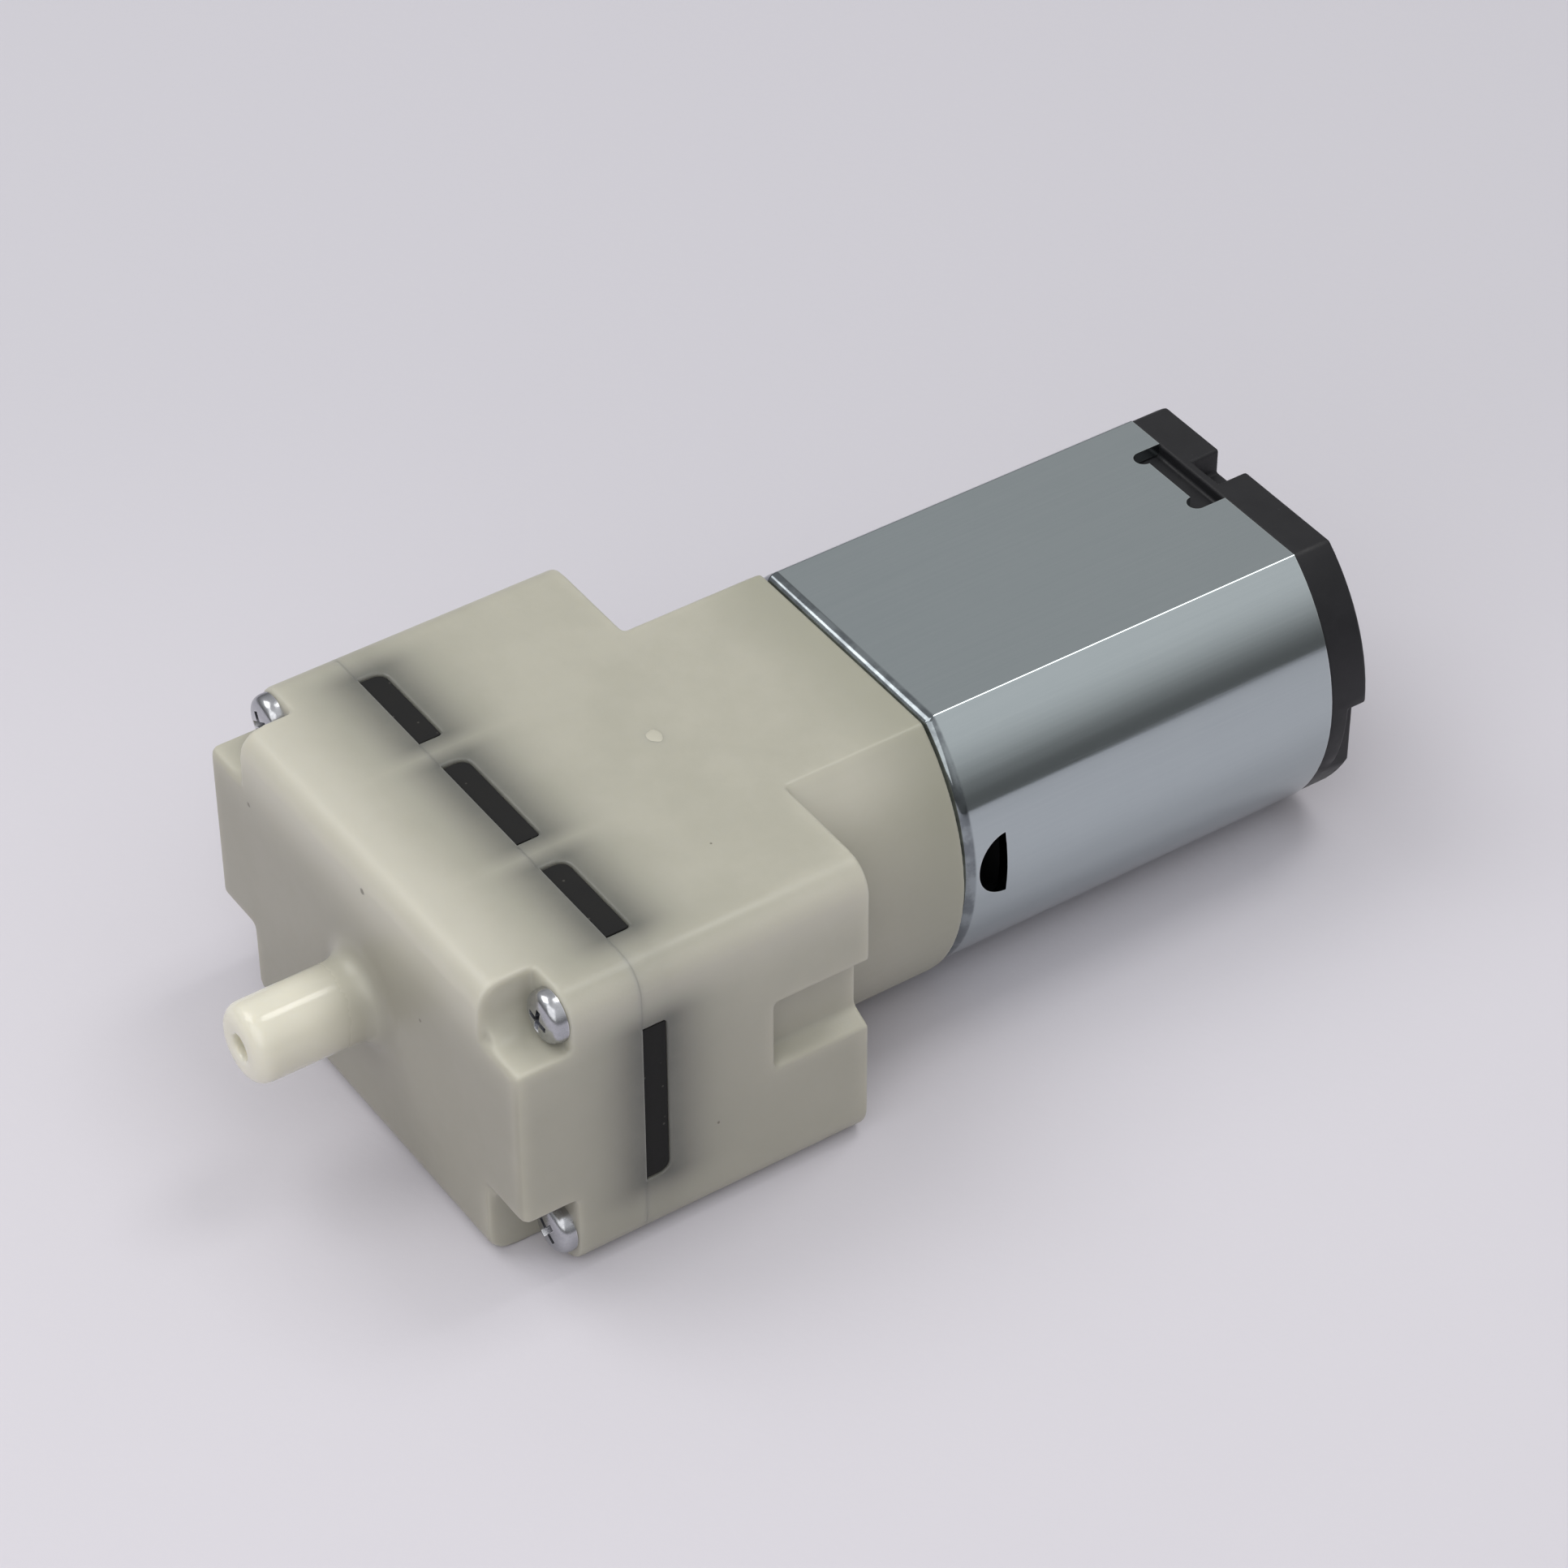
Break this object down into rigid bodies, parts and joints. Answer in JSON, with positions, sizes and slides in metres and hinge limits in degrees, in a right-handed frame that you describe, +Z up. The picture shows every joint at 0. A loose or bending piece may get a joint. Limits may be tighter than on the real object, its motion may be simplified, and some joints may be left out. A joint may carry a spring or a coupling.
{
  "type": "diaphragm air pump",
  "caption": "Small electric diaphragm air pump: cream moulded head with an outlet nipple and rubber cups, driven by a flat-sided steel motor with a black end cap.",
  "frame": {"origin": "middle of the pump's outline seen from above, on the plane of the head's flat base", "axes": "+X across the head, +Y from the outlet nipple back along the motor's axis, +Z up from the base"},
  "size_m": [0.021, 0.046, 0.0128],
  "materials": {
    "cover_plastic": "translucent cream moulding, soft shine",
    "housing_plastic": "translucent cream moulding, soft shine",
    "inner_plastic": "cream moulding",
    "rubber": "matt black moulded rubber",
    "screw_steel": "bright plated",
    "can_steel": "bright zinc plate with fine lengthwise lines",
    "plain_steel": "ground",
    "bronze": "sintered bronze",
    "contact_brass": "bright",
    "copper": "enamelled copper wire",
    "ferrite": "dull ferrite",
    "core_steel": "stacked plates",
    "cap_plastic": "black moulding",
    "washer_plastic": "smooth",
    "commutator_plastic": "brown moulding"
  },
  "bodies": {
    "pump_body": {"head_cover": "cover_plastic", "cover_screws": "screw_steel", "outlet_valve": "rubber", "valve_plate": "inner_plastic", "inlet_valves": "rubber", "diaphragm": "rubber", "diaphragm_holder": "inner_plastic", "pump_housing": "housing_plastic", "motor_screws": "screw_steel", "motor_can": "can_steel", "front_bearing": "bronze", "magnets": "ferrite", "magnet_spring": "plain_steel", "end_cap": "cap_plastic", "rear_bearing": "bronze", "brushes": "contact_brass", "terminals": "contact_brass"},
    "rotor": {"motor_shaft": "plain_steel", "eccentric_crank": "inner_plastic", "armature_core": "core_steel", "windings": "copper", "commutator": "commutator_plastic", "commutator_bars": "contact_brass", "thrust_washers": "washer_plastic"},
    "yoke": {"swing_yoke": "inner_plastic", "drive_pin": "plain_steel"}
  },
  "joints": [
    {"name": "rotor_spin", "type": "hinge", "parent": "pump_body", "child": "rotor", "pos_m": [0, 0.00263, 0.00675], "axis": [0, 1, 0], "continuous": true},
    {"name": "yoke_swing", "type": "hinge", "parent": "rotor", "child": "yoke", "pos_m": [0, -0.01033, 0.00675], "axis": [0, 0.9877, 0.1564], "continuous": true, "deforming": ["diaphragm"]}
  ],
  "couplings": [
    {"joint": "yoke_swing", "follows": "rotor_spin", "ratio": -1}
  ]
}
